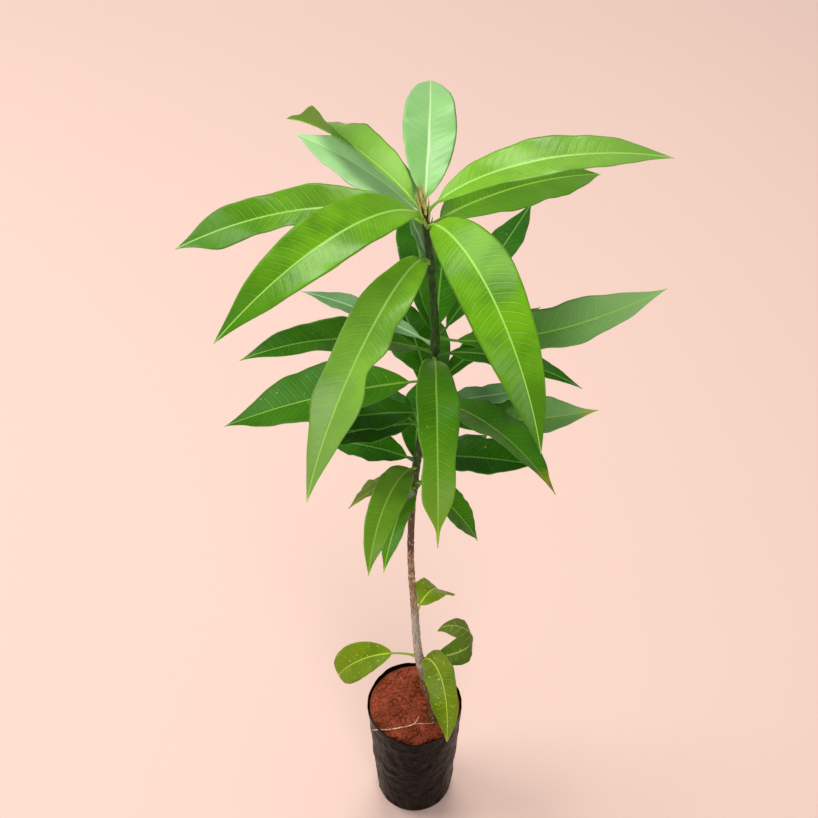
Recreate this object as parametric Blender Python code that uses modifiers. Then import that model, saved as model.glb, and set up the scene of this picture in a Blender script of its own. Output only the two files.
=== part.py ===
"""Young mango tree in a black film grow bag: stem, leaves, soil and bag as closed solids.

Metres, +Z up. The origin is the centre of the bag's flat underside, and +Y points away
from the plant's front. Run with: blender --background --python part.py
"""
from collections import namedtuple
from math import cos, pi, radians, sin

import bpy
import numpy as np
from mathutils import Matrix, Vector

MM = 0.001

# Bag: a film cup that widens upward and rounds into its flat underside.
BAG_HEIGHT = 141.0
BAG_RIM_RADIUS = 40.0
BAG_HEEL_RADIUS = 33.5        # outer radius just above the rounded bottom corner
BAG_BASE_RADIUS = 28.0        # flat underside
BAG_HEEL_HEIGHT = 9.0
BAG_WALL = 0.8
BAG_SIDES = 40
HEEL_STEPS = 4

CLEARANCE = 0.3               # gap that neighbouring solids keep

# Soil: fills the bag to just under its rim, with a soft edge.
SOIL_HEIGHT = 138.5
SOIL_EDGE_DROP = 1.5
SOIL_EDGE_WIDTH = 5.0

# Stem: (height, x, y, radius) where it bends, from its foot on the soil to its tip.
STEM_BENDS = (
    (SOIL_HEIGHT + CLEARANCE, 16.5, -13.5, 5.2),
    (147.0, 16.0, -13.0, 4.2),
    (185.0, 9.0, -9.5, 3.7),
    (225.0, 3.5, -6.5, 3.4),
    (290.0, -0.5, -4.0, 2.8),
    (370.0, -3.5, -2.0, 2.5),
    (460.0, -0.5, 0.0, 2.5),
    (530.0, 6.0, 1.0, 2.6),
    (592.0, 12.0, 1.0, 2.7),
    (650.0, 10.0, 0.5, 2.4),
    (700.0, 6.0, 0.0, 2.2),
    (721.0, 4.3, 0.0, 1.8),
)
STEM_SIDES_RESOLUTION = 3
STEM_STATIONS = 34
STATION_CROWDING = 1.3        # above 1, the stations crowd towards the foot

# Bud: the closed leaf scales at the stem's tip.
BUD_HEIGHT = 19.0
BUD_RADIUS = 2.8
BUD_FOOT_RADIUS = 1.8
BUD_RINGS = (0.0, 0.15, 0.35, 0.6, 0.85)    # shares of its height
BUD_SIDES = 12

# Every leaf: a petiole, then a blade whose two halves rise from the midrib.
LEAF_STATIONS = 16            # faces along a leaf
LEAF_THINNESS = 0.0112        # thickness as a share of the length
PETIOLE_HALF_WIDTH = 1.2
TIP_HALF_WIDTH = 0.7
# Outlines: the petiole's share of the length, and how full the blade is at each end.
Outline = namedtuple("Outline", "petiole near far")
FLUSH = Outline(0.06, 0.72, 0.95)
LANCE = Outline(0.08, 0.85, 1.05)
TONGUE = Outline(0.1, 0.75, 0.75)
OVAL = Outline(0.14, 0.5, 0.7)
SPOON = Outline(0.24, 0.65, 0.45)
FOLD = radians(11)            # rise of each half of the blade from the midrib
WAVE_HEIGHT = 1.3             # ripple of the margins
WAVE_COUNT = 3.5
WAVE_TURN = 2.4               # phase step from one leaf to the next
YOUNG_WHORLS = ("top", "upper")
OLD_WHORLS = ("low", "basal")

# One leaf: degrees and millimetres. Azimuth 0 is +X and 90 is +Y. The midrib leaves
# the stem at the rise angle, reaches the fall angle at its tip, and turns by the swing;
# a bend above 1 keeps the fall for the outer part. The blade turns on its midrib by the
# roll at its base, and by the twist more at its tip.
Leaf = namedtuple("Leaf", "azimuth rise fall length width swing roll twist bend outline")

# Whorls from the top down: height of the highest leaf, spacing below it, leaves.
WHORLS = {
    "top": (718.5, 2.0, (
        Leaf(86, 22, -33, 128, 34, 4, 9, -6, 1.32, FLUSH),
        Leaf(11, 73, -21, 163, 30, 1, -3, 14, 0.42, FLUSH),
        Leaf(130, 35, -37, 173, 36, -12, 5, 20, 0.47, FLUSH),
        Leaf(131, -3, -15, 124, 40, 8, 0, 0, 1.0, FLUSH),
        Leaf(-134, 85, -29, 180, 34, -5, -5, -19, 0.45, FLUSH),
        Leaf(178, 45, -28, 157, 31, 10, -10, -7, 0.45, FLUSH),
        Leaf(-63, 63, -66, 186, 37, -3, 20, 22, 0.61, FLUSH),
        Leaf(38, 14, -31, 158, 43, 4, 5, 0, 0.45, FLUSH),
    )),
    "upper": (676.0, 5.0, (
        Leaf(-111, 71, -70, 205, 31, -13, -7, -11, 0.59, FLUSH),
        Leaf(128, 66, 40, 40, 8, 0, 0, 0, 1.0, LANCE),
    )),
    "middle": (605.0, 2.6, (
        Leaf(6, -40, 34, 156, 39, -2, -14, 26, 0.45, LANCE),
        Leaf(84, 46, -10, 90, 30, 0, 0, 0, 1.0, LANCE),
        Leaf(57, 11, -10, 148, 31, 11, -22, 6, 0.83, LANCE),
        Leaf(150, 10, -14, 102, 18, 0, 0, 0, 1.0, LANCE),
        Leaf(98, 22, -14, 132, 34, 0, 15, 0, 1.0, LANCE),
        Leaf(209, 42, -2, 150, 35, -2, 3, 0, 1.6, LANCE),
        Leaf(-28, 20, -18, 102, 26, 0, -8, 0, 1.0, LANCE),
        Leaf(-90, 48, -88, 178, 28, 1, -18, 6, 1.32, LANCE),
    )),
    "third": (562.0, 5.6, (
        Leaf(-179, -4, -32, 148, 46, -4, -8, 11, 0.89, LANCE),
        Leaf(108, 30, -4, 70, 26, 0, 0, 0, 1.0, LANCE),
        Leaf(42, 18, -10, 104, 28, 0, 0, 0, 1.0, LANCE),
        Leaf(-50, 32, -5, 146, 38, -12, -1, -38, 1.6, LANCE),
        Leaf(86, 10, -10, 80, 28, 0, 0, 0, 1.0, LANCE),
        Leaf(22, 0, -6, 84, 26, 0, 0, 0, 1.0, LANCE),
        Leaf(190, 15, -10, 75, 32, 0, 0, 0, 1.0, LANCE),
        Leaf(-7, 0, 1, 118, 33, 20, -5, 0, 1.0, LANCE),
        Leaf(192, 12, -15, 75, 28, 0, 0, 0, 1.0, LANCE),
        Leaf(140, 10, -18, 66, 26, 0, 0, 0, 1.0, LANCE),
    )),
    "fourth": (482.0, 5.6, (
        Leaf(-13, 17, 0, 83, 35, 0, -10, 15, 1.13, LANCE),
        Leaf(165, 15, -15, 66, 28, 0, 0, 0, 1.0, LANCE),
        Leaf(-114, 44, -77, 118, 24, 10, -21, -6, 1.6, LANCE),
        Leaf(88, 26, -16, 78, 26, 0, 0, 0, 1.0, LANCE),
        Leaf(-136, 45, -18, 70, 18, -3, 17, 10, 1.15, LANCE),
        Leaf(-36, 24, -55, 64, 31, 2, -20, 0, 0.5, LANCE),
        Leaf(-103, 43, -57, 91, 20, -4, 17, 4, 1.45, LANCE),
        Leaf(42, 22, -20, 74, 24, 0, 0, 0, 1.0, LANCE),
    )),
    "low": (284.0, 0.0, (
        Leaf(64, 37, -80, 54, 27, -13, -7, 14, 0.75, OVAL),
    )),
    "basal": (226.0, 3.0, (
        Leaf(173, 54, -64, 78, 34, 12, -12, 1, 0.45, SPOON),
        Leaf(-4, -10, 215, 84, 25, 0, 0, 0, 1.25, TONGUE),
        Leaf(-62, 62, -92, 104, 27, -16, -14, 0, 1.0, TONGUE),
    )),
}


def make_collection(name):
    collection = bpy.data.collections.new(name)
    bpy.context.scene.collection.children.link(collection)
    view_layer = bpy.context.view_layer
    view_layer.active_layer_collection = view_layer.layer_collection.children[name]


def make_material(name, colour, roughness):
    material = bpy.data.materials.new(name)
    material.use_nodes = True
    shader = material.node_tree.nodes["Principled BSDF"]
    shader.inputs["Base Color"].default_value = (*colour, 1.0)
    shader.inputs["Roughness"].default_value = roughness
    shader.inputs["Metallic"].default_value = 0.0
    return material


def lathe(name, profile, sides, material):
    """Turn a closed (radius, height) profile in millimetres about the Z axis."""
    mesh = bpy.data.meshes.new(name)
    points = [(radius * MM, 0.0, height * MM) for radius, height in profile]
    mesh.from_pydata(points, [(i, i + 1) for i in range(len(points) - 1)], [])
    lathed = bpy.data.objects.new(name, mesh)
    bpy.context.collection.objects.link(lathed)
    screw = lathed.modifiers.new("turn", "SCREW")
    screw.steps = sides
    screw.render_steps = sides
    screw.use_merge_vertices = True
    screw.merge_threshold = 0.0001
    screw.use_normal_flip = True
    mesh.materials.append(material)
    return lathed


def bag_radius(height):
    """Outer radius of the bag's straight wall above its heel, in millimetres."""
    share = (height - BAG_HEEL_HEIGHT) / (BAG_HEIGHT - BAG_HEEL_HEIGHT)
    return BAG_HEEL_RADIUS + (BAG_RIM_RADIUS - BAG_HEEL_RADIUS) * share


def cup_profile(inset, top):
    """Outside of the bag moved inward by the inset, from the axis up to the top."""
    profile = [(0.0, inset)]
    for step in range(HEEL_STEPS + 1):
        turn = pi / 2 * step / HEEL_STEPS
        radius = BAG_BASE_RADIUS + (BAG_HEEL_RADIUS - BAG_BASE_RADIUS - inset) * sin(turn)
        height = inset + (BAG_HEEL_HEIGHT - inset) * (1 - cos(turn))
        profile.append((radius, height))
    profile.append((bag_radius(top) - inset, top))
    return profile


def make_bag(material):
    outside = cup_profile(0.0, BAG_HEIGHT)
    inside = cup_profile(BAG_WALL, BAG_HEIGHT)
    lathe("bag", outside + inside[::-1], BAG_SIDES, material)


def make_soil(material):
    edge = SOIL_HEIGHT - SOIL_EDGE_DROP
    profile = cup_profile(BAG_WALL + CLEARANCE, edge)
    profile.append((profile[-1][0] - SOIL_EDGE_WIDTH, SOIL_HEIGHT))
    profile.append((0.0, SOIL_HEIGHT))
    lathe("soil", profile, BAG_SIDES, material)


def stem_at(height):
    """Centre (x, y) and radius of the stem at a height, on a smooth curve through its bends."""
    bends = np.array(STEM_BENDS)
    index = int(np.clip(np.searchsorted(bends[:, 0], height) - 1, 0, len(bends) - 2))
    slopes = np.gradient(bends[:, 1:], bends[:, 0], axis=0)
    span = bends[index + 1, 0] - bends[index, 0]
    share = (height - bends[index, 0]) / span
    near, far = bends[index, 1:], bends[index + 1, 1:]
    return (near * (1 + 2 * share) * (1 - share) ** 2
            + far * share ** 2 * (3 - 2 * share)
            + slopes[index] * span * share * (1 - share) ** 2
            - slopes[index + 1] * span * share ** 2 * (1 - share))


def make_stem(material):
    curve = bpy.data.curves.new("stem", "CURVE")
    curve.dimensions = "3D"
    curve.bevel_depth = MM
    curve.bevel_resolution = STEM_SIDES_RESOLUTION
    curve.use_fill_caps = True
    spline = curve.splines.new("POLY")
    foot, tip = STEM_BENDS[0][0], STEM_BENDS[-1][0]
    heights = foot + (tip - foot) * np.linspace(0, 1, STEM_STATIONS) ** STATION_CROWDING
    spline.points.add(STEM_STATIONS - 1)
    for point, height in zip(spline.points, heights):
        x, y, radius = stem_at(height)
        point.co = (x * MM, y * MM, height * MM, 1.0)
        point.radius = radius
    # The first length stands upright, so that the foot is cut level on the soil.
    spline.points[0].co.xy = spline.points[1].co.xy
    stem = bpy.data.objects.new("stem", curve)
    bpy.context.collection.objects.link(stem)
    curve.materials.append(material)


def make_bud(material):
    """A pointed oval: fullest below its middle, it closes on a parabola towards its tip."""
    stem_tip = STEM_BENDS[-1][0]
    foot = stem_tip + CLEARANCE
    profile = [(0.0, foot)]
    for share in BUD_RINGS:
        swell = BUD_FOOT_RADIUS + (BUD_RADIUS - BUD_FOOT_RADIUS) * sin(pi * share)
        profile.append((swell * (1 - share ** 2), foot + BUD_HEIGHT * share))
    profile.append((0.0, foot + BUD_HEIGHT))
    bud = lathe("bud", profile, BUD_SIDES, material)
    x, y, _ = stem_at(stem_tip)
    bud.location = (x * MM, y * MM, 0.0)


def blade_half_width(leaf, share):
    """Half the blade's width: t^near * (1 - t)^far, with t running from the petiole to the tip."""
    petiole, near, far = leaf.outline
    peak = near / (near + far)
    on_blade = min(max((share - petiole) / (1 - petiole), 0.0), 1.0)
    fullness = on_blade ** near * (1 - on_blade) ** far / (peak ** near * (1 - peak) ** far)
    least = PETIOLE_HALF_WIDTH + (TIP_HALF_WIDTH - PETIOLE_HALF_WIDTH) * on_blade
    return max(leaf.width / 2 * fullness, least)


def leaf_direction(leaf, share):
    """Unit vectors along the midrib and level across it, at a share of the leaf's length."""
    elevation = radians(leaf.rise + (leaf.fall - leaf.rise) * share ** leaf.bend)
    azimuth = radians(leaf.azimuth + leaf.swing * share)
    ahead = Vector((cos(elevation) * cos(azimuth), cos(elevation) * sin(azimuth), sin(elevation)))
    return ahead, Vector((-sin(azimuth), cos(azimuth), 0.0))


def leaf_root(leaf, height, thickness):
    """Where the petiole starts: just clear of the stem's surface."""
    x, y, radius = stem_at(height)
    lean_back = thickness / 2 * abs(sin(radians(leaf.rise)))
    reach = radius + CLEARANCE + lean_back
    azimuth = radians(leaf.azimuth)
    return Vector((x + reach * cos(azimuth), y + reach * sin(azimuth), height))


def make_leaf(name, leaf, height, phase, material):
    thickness = leaf.length * LEAF_THINNESS
    bpy.ops.mesh.primitive_grid_add(x_subdivisions=LEAF_STATIONS, y_subdivisions=2, size=2)
    blade = bpy.context.object
    blade.name = name
    blade.data.name = name
    midrib = [leaf_root(leaf, height, thickness)]
    for station in range(LEAF_STATIONS):
        ahead, _ = leaf_direction(leaf, (station + 0.5) / LEAF_STATIONS)
        midrib.append(midrib[-1] + ahead * leaf.length / LEAF_STATIONS)
    for vertex in blade.data.vertices:
        station = round((vertex.co.x + 1) / 2 * LEAF_STATIONS)
        across = vertex.co.y
        share = station / LEAF_STATIONS
        ahead, side = leaf_direction(leaf, share)
        side = Matrix.Rotation(radians(leaf.roll + leaf.twist * share), 3, ahead) @ side
        above = ahead.cross(side)
        half = blade_half_width(leaf, share)
        relative = 2 * half / leaf.width
        ripple = sin(2 * pi * WAVE_COUNT * share + phase + across)
        lift = abs(across) * (half * sin(FOLD) + WAVE_HEIGHT * relative ** 2 * ripple)
        point = midrib[station] + side * across * half * cos(FOLD) + above * lift
        vertex.co = point * MM
    solidify = blade.modifiers.new("thickness", "SOLIDIFY")
    solidify.thickness = thickness * MM
    solidify.offset = 0.0
    blade.data.materials.append(material)
    blade.data.shade_smooth()


def make_leaves(young, grown, old):
    number = 0
    for whorl, (top, spacing, leaves) in WHORLS.items():
        material = grown
        if whorl in YOUNG_WHORLS:
            material = young
        elif whorl in OLD_WHORLS:
            material = old
        for place, leaf in enumerate(leaves):
            name = f"leaf_{whorl}_{place + 1}"
            make_leaf(name, leaf, top - spacing * place, WAVE_TURN * number, material)
            number += 1


def main():
    for leftover in list(bpy.data.objects):
        bpy.data.objects.remove(leftover)
    make_collection("mango_tree")
    make_bag(make_material("grow_bag_film", (0.012, 0.011, 0.010), 0.38))
    make_soil(make_material("red_soil", (0.19, 0.055, 0.028), 0.95))
    make_stem(make_material("stem_bark", (0.10, 0.065, 0.035), 0.75))
    make_bud(make_material("bud_scales", (0.36, 0.24, 0.07), 0.6))
    young = make_material("young_leaf", (0.18, 0.42, 0.04), 0.38)
    grown = make_material("grown_leaf", (0.04, 0.14, 0.02), 0.42)
    old = make_material("old_leaf", (0.16, 0.22, 0.02), 0.5)
    make_leaves(young, grown, old)


main()
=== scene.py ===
import bpy
import numpy as np
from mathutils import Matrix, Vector


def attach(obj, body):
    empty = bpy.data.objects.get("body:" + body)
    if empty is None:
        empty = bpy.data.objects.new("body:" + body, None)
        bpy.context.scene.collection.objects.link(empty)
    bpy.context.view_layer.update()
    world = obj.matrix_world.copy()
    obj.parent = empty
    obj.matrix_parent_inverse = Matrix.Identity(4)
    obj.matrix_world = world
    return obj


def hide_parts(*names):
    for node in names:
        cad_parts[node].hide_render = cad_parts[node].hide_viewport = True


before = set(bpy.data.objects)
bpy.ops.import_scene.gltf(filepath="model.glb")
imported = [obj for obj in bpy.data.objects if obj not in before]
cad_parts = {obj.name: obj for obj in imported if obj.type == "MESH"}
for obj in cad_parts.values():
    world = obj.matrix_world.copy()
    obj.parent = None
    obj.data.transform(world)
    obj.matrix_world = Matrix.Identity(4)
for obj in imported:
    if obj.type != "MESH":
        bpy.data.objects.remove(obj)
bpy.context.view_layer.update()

mm = 0.001
print("frame loaded,", len(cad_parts), "nodes")


# Smooth random field: random values on a lattice, blended between corners by s*s*(3-2s).
def smoothNoise(points, seed):
    size = 32
    lattice = np.random.default_rng(seed).uniform(-1, 1, (size, size, size))
    cell = np.floor(points).astype(int)
    part = points - cell
    part = part * part * (3 - 2 * part)
    total = np.zeros(points.shape[:-1])
    for corner in np.ndindex(2, 2, 2):
        weight = np.prod(np.where(corner, part, 1 - part), axis=-1)
        at = (cell + corner) % size
        total += weight * lattice[at[..., 0], at[..., 1], at[..., 2]]
    return total


# Layered noise: every octave is twice as fine and half as strong as the one before.
def layeredNoise(points, seed, octaves=3):
    return sum(smoothNoise(points * 2 ** n, seed + n) / 2 ** n for n in range(octaves))


# 0 below the low edge, 1 above the high edge, with an s-shaped step between them.
def step(low, high, value):
    part = np.clip((value - low) / (high - low), 0, 1)
    return part * part * (3 - 2 * part)


# The value that lies this share of the way from a pair's first to its second.
def between(pair, share):
    return pair[0] + (pair[1] - pair[0]) * share


# Evenly spaced angles round a circle.
def circle(count):
    return np.linspace(0, 2 * np.pi, count, endpoint=False)


# One array of points from their x, y and z, of any shapes that go together.
def places(x, y, z):
    return np.stack(np.broadcast_arrays(x, y, z), -1)


# Closes rings[i, j], point j round ring i, with a pole in the middle of each end ring.
def closeRings(rings):
    count, around = rings.shape[:2]
    ring, spot = np.meshgrid(np.arange(count - 1), np.arange(around), indexing="ij")
    near, beside = ring * around + spot, ring * around + (spot + 1) % around
    quads = np.stack([near, beside, beside + around, near + around], -1).reshape(-1, 4)
    first, last = count * around, count * around + 1
    spot = np.arange(around)
    following, end = (spot + 1) % around, (count - 1) * around
    firstCap = np.stack([following, spot, np.full(around, first)], -1)
    lastCap = np.stack([end + spot, end + following, np.full(around, last)], -1)
    points = np.vstack([rings.reshape(-1, 3), rings[0].mean(0), rings[-1].mean(0)])
    faces = quads.tolist() + firstCap.tolist() + lastCap.tolist()
    # six times the volume, as the sum of each quad's and triangle's corner products
    a, b, c, d = (points[quads[:, n]] for n in range(4))
    volume = np.einsum("ij,ij->", a, np.cross(b, c)) + np.einsum("ij,ij->", a, np.cross(c, d))
    if volume < 0:
        faces = [face[::-1] for face in faces]
    return points, faces


# Several closed shells as one: the corner numbers of each go on from those before it.
def joinShells(shells):
    allPoints, allFaces, used = [], [], 0
    for points, faces in shells:
        allFaces += [[corner + used for corner in face] for face in faces]
        allPoints.append(points)
        used += len(points)
    return np.vstack(allPoints), allFaces


# Puts an object with this mesh, light or camera into the scene.
def addObject(name, data):
    added = bpy.data.objects.new(name, data)
    bpy.context.scene.collection.objects.link(added)
    return added


# Makes one smooth-shaded piece that rides on the plant, and hides the nodes it replaces.
def makePiece(name, points, faces, material, slotName, replaced=(), attributes=None):
    mesh = bpy.data.meshes.new(name)
    mesh.from_pydata((points * mm).tolist(), [], faces)
    mesh.shade_smooth()
    for key, values in (attributes or {}).items():
        layer = mesh.attributes.new(key, "FLOAT_VECTOR", "POINT")
        layer.data.foreach_set("vector", values.astype(np.float32).ravel())
    mesh.materials.append(material)
    piece = addObject(name, mesh)
    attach(piece, "root")
    if replaced:
        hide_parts(*replaced)


# A tube: at each point of a path, a circle of its radius stands square to the path.
def tubeRings(path, radii, around):
    ahead = np.gradient(path, axis=0)
    ahead /= np.linalg.norm(ahead, axis=1, keepdims=True)
    side = np.cross(ahead, (0.02, 0.01, 1.0))
    side /= np.linalg.norm(side, axis=1, keepdims=True)
    above = np.cross(side, ahead)
    turn = circle(around)[None, :, None]
    ring = np.cos(turn) * side[:, None] + np.sin(turn) * above[:, None]
    return path[:, None] + ring * np.broadcast_to(radii, len(path))[:, None, None]


# sRGB hex to linear colour: below 0.04045 a twelfth, above it the 2.4 power curve.
def linear(hexColour):
    srgb = [int(hexColour[n:n + 2], 16) / 255 for n in (1, 3, 5)]
    return [c / 12.92 if c <= 0.04045 else ((c + 0.055) / 1.055) ** 2.4 for c in srgb] + [1.0]


# Adds one shader node with its settings and returns one of its outputs. An input is a value or
# another node's output.
def addNode(tree, kind, inputs=None, output=0, **settings):
    node = tree.nodes.new("ShaderNode" + kind)
    for key, value in settings.items():
        setattr(node, key, value)
    for key, value in (inputs or {}).items():
        if isinstance(value, bpy.types.NodeSocket):
            tree.links.new(value, node.inputs[key])
        else:
            node.inputs[key].default_value = value
    return node.outputs[output]


# Settings that many nodes share: a mix of two colours, and an s-shaped step.
colourMix = {"output": 2, "data_type": "RGBA"}
smooth = {"interpolation_type": "SMOOTHSTEP"}


# A new material with its shader's plain values, which are set on the sockets themselves.
def startMaterial(name, values):
    material = bpy.data.materials.new(name)
    material.use_nodes = True
    shader = material.node_tree.nodes["Principled BSDF"]
    for key, value in values.items():
        shader.inputs[key].default_value = value
    return material, material.node_tree, shader


leafShape = {
    "stationStep": 0.8,  # mm between the rings along a leaf
    "acrossSteps": 28,  # strips across one side of the blade
    "rimSpread": 1.25,  # power that crowds the strips towards the midrib
    "bladeThickness": 0.4,  # mm
    "sunk": 0.6,  # mm of the leaf's root that lie inside the stem
    "ribRadius": 1.0,  # mm, the petiole and the midrib's root
    "ribTaper": (0.75, 0.8),  # share of that radius lost by the tip, and the power of its loss
    "ribRidge": (0.35, 0.85),  # its height over and under the blade, in rib radii
    "pulvinus": (1.5, 7),  # mm, radius and length of the swelling at the stem
    "foldDegrees": 11,  # rise of each half of the blade from the midrib
    "waveHeight": 1.3,  # mm, ripple of the margins
    "waveCount": 3.5,
    "waveTurn": 2.4,  # phase step from one leaf to the next
    "frillHeight": 0.3,  # mm, small crimps at the rim
    "frillCount": 9,
    "veinSpacing": 6.0,  # mm between side veins at the midrib
    "veinLean": 0.5,  # mm towards the tip for each mm away from the midrib
    "veinHook": 3.5,  # mm more towards the tip at the margin
    "veinWander": 0.16,  # of the spacing, how far a side vein strays
    "pillowHeight": 0.13,  # mm, the quilting between side veins
}

# Outlines: the petiole's share of the length, how slowly the blade widens at its root and at
# its tip, how much the last fifth is drawn in to a drip tip, and the tip's half width in mm.
outlines = {
    "flush": (0.06, 0.72, 0.95, 0.25, 0.35),
    "lance": (0.08, 0.85, 1.05, 0.3, 0.35),
    "tongue": (0.1, 0.75, 0.75, 0.35, 0.35),
    "oval": (0.14, 0.5, 0.7, 0.0, 0.6),
    "spoon": (0.24, 0.65, 0.45, 0.0, 0.7),
}

# Each leaf: azimuth, rise, fall, length, width, swing, roll, twist and bend, then its outline,
# its tone and its own traits, where a share is of the leaf's length:
#   fold, degrees; wave, mm of ripple; curl, the share where it starts and degrees at the tip;
#   dry, the share where its tip turns brown; paintedSheen, strength at root and tip of a pale
#   painted sheen, where below 0 is none; bulges, each a share, its reach, and the change of the
#   left and the right half width there.
# A row that stops early goes on as the plain leaf does.
plainLeaf = (0, 0, 0, 0, 0, 0, 0, 0, 1.0, "lance", "deep", {})

# Whorls run from the top down: height of the highest leaf and spacing below it in mm, leaves.
whorls = {
    "top": (718.5, 2.0, (
        (86, 22, -33, 128, 34, 4, 9, -6, 1.32, "flush", "pale", {"paintedSheen": (0.15, 0.55)}),
        (11, 72, -21, 162, 31, 1, -3, 14, 0.42, "flush", "fresh", {"wave": 0.8, "paintedSheen": (0.0, 0.35)}),
        (130, 35, -37, 173, 38, -12, 5, 20, 0.47, "flush", "fresh",
         {"fold": 40, "curl": (0.26, 50), "paintedSheen": (0.35, 0.0),
          "bulges": ((0.4, 0.3, -0.25, -0.12), (0.86, 0.1, -0.5, 0.2))}),
        (126, 1, -7, 115, 40, 18, 2, 8, 1.0, "flush", "pale",
         {"fold": 10, "wave": 0.9, "paintedSheen": (0.9, 0.65)}),
        (-133.4, 85, -29, 180, 36, -5, -5, -19, 0.45, "flush", "fresh", {"wave": 0.8}),
        (178, 45, -28, 157, 31, 10, -10, -7, 0.45, "flush", "fresh",
         {"wave": 1.6, "paintedSheen": (0.25, -0.2),
          "bulges": ((0.52, 0.07, -0.28, 0.0), (0.86, 0.11, 0.75, 0.55))}),
        (-63, 63, -66, 186, 37, -3, 20, 22, 0.61, "flush", "fresh",
         {"wave": 0.7, "bulges": ((0.4, 0.15, 0.14, 0.0),)}),
        (38, 14, -31, 158, 43, 4, 5, 0, 0.45, "flush", "mid", {"paintedSheen": (0.1, 0.1)}),
    )),
    "upper": (676.0, 5.0, (
        (-111, 71, -70, 205, 31, -13, -7, -11, 0.59, "flush", "fresh",
         {"wave": 1.8, "paintedSheen": (-0.1, 0.45),
          "bulges": ((0.2, 0.12, 0.0, -0.18), (0.42, 0.05, -0.16, 0.0),
                     (0.57, 0.05, -0.34, 0.0), (0.7, 0.06, 0.12, 0.2))}),
        (128, 66, 40, 40, 8, 0, 0, 0, 1.0, "lance", "silver"),
    )),
    "middle": (605.0, 2.6, (
        (7, -40, 34, 156, 39, -2, -14, 26, 0.45, "lance", "grown", {"wave": 1.8, "paintedSheen": (-0.25, 0.6)}),
        (84, 46, -10, 90, 30),
        (57, 11, -10, 148, 31, 11, -22, 6, 0.83, "lance", "deep",
         {"bulges": ((0.25, 0.12, 0.0, 0.5),)}),
        (150, 10, -14, 102, 18, 0, 0, 0, 1.0, "lance", "silver"),
        (98, 22, -14, 132, 34, 0, 15),
        (209, 42, -2, 150, 35, -2, 3, 0, 1.6, "lance", "grown",
         {"dry": 0.96, "bulges": ((0.72, 0.06, -0.15, -0.05), (0.9, 0.08, 0.25, 0.25))}),
        (-19, 30, -22, 101, 26, -2, -6, 0, 0.9, "lance", "deep",
         {"bulges": ((0.8, 0.15, -0.25, -0.25),)}),
        (-90, 48, -88, 178, 28, 1, -18, 6, 1.32, "lance", "mid",
         {"wave": 1.8, "dry": 0.92, "paintedSheen": (-0.7, 0.62),
          "bulges": ((0.66, 0.05, -0.1, -0.22), (0.8, 0.05, 0.15, 0.25), (0.93, 0.05, -0.5, -0.5))}),
    )),
    "third": (562.0, 5.6, (
        (-177.6, -4, -32, 148, 45, -4, -8, 11, 0.89, "lance", "grown",
         {"bulges": ((0.6, 0.25, 0.0, 0.15),)}),
        (108, 30, -4, 70, 26, 0, 0, 0, 1.0, "lance", "deep", {"bulges": ((0.3, 0.25, 0.55, 0.1),)}),
        (42, 18, -10, 104, 28, 0, 0, 0, 1.0, "lance", "deep", {"bulges": ((0.3, 0.2, -0.3, -0.45),)}),
        (-50, 32, -5, 146, 38, -12, -1, -38, 1.6, "lance", "grown", {"dry": 0.84}),
        (86, 10, -10, 80, 28),
        (17, -2, -12, 80, 19, 0, -4, 0, 1.0, "lance", "silver"),
        (190, 15, -10, 75, 32),
        (-7, 0, 1, 118, 33, 20, -5, 0, 1.0, "lance", "grown",
         {"dry": 0.88, "paintedSheen": (-0.3, 0.45), "bulges": ((0.78, 0.16, 0.32, 0.2),)}),
        (192, 12, -15, 75, 28),
        (140, 10, -18, 66, 26),
    )),
    "fourth": (482.0, 5.6, (
        (-13, 17, 0, 83, 35, 0, -10, 15, 1.13),
        (165, 15, -15, 66, 28),
        (-114, 44, -77, 118, 24, 10, -21, -6, 1.6, "lance", "mid", {"paintedSheen": (0.25, 0.35)}),
        (88, 26, -16, 78, 26),
        (-136, 45, -18, 66, 19, -3, 17, 10, 1.15, "lance", "old", {"dry": 0.9, "paintedSheen": (0.3, 0.4)}),
        (-36, 24, -55, 64, 31, 2, -20, 0, 0.5, "lance", "mid", {"dry": 0.96, "wave": 0.5}),
        (-103, 43, -57, 91, 21, -4, 17, 4, 1.45, "lance", "mid", {"paintedSheen": (0.0, 0.1)}),
        (42, 22, -20, 74, 24),
    )),
    "low": (284.0, 0.0, (
        (64, 37, -80, 53, 28, -13, -7, 8, 0.75, "oval", "old",
         {"wave": 0.5, "bulges": ((0.84, 0.14, 0.4, 0.5),)}),
    )),
    "basal": (226.0, 3.0, (
        (171, 34, -64, 84, 31, 3, -25, -15, 0.45, "spoon", "old", {"wave": 0.4}),
        # this leaf's tone is an old leaf's greens darkened as painted shade
        (-8, 24, 262, 101, 28, 3, 26, -20, 2.3, "tongue", "shadedOld", {"wave": 0.4}),
        (-54, 78, -74, 109, 28, -42, 30, 12, 1.07, "tongue", "old", {"dry": 0.92}),
    )),
}

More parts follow.
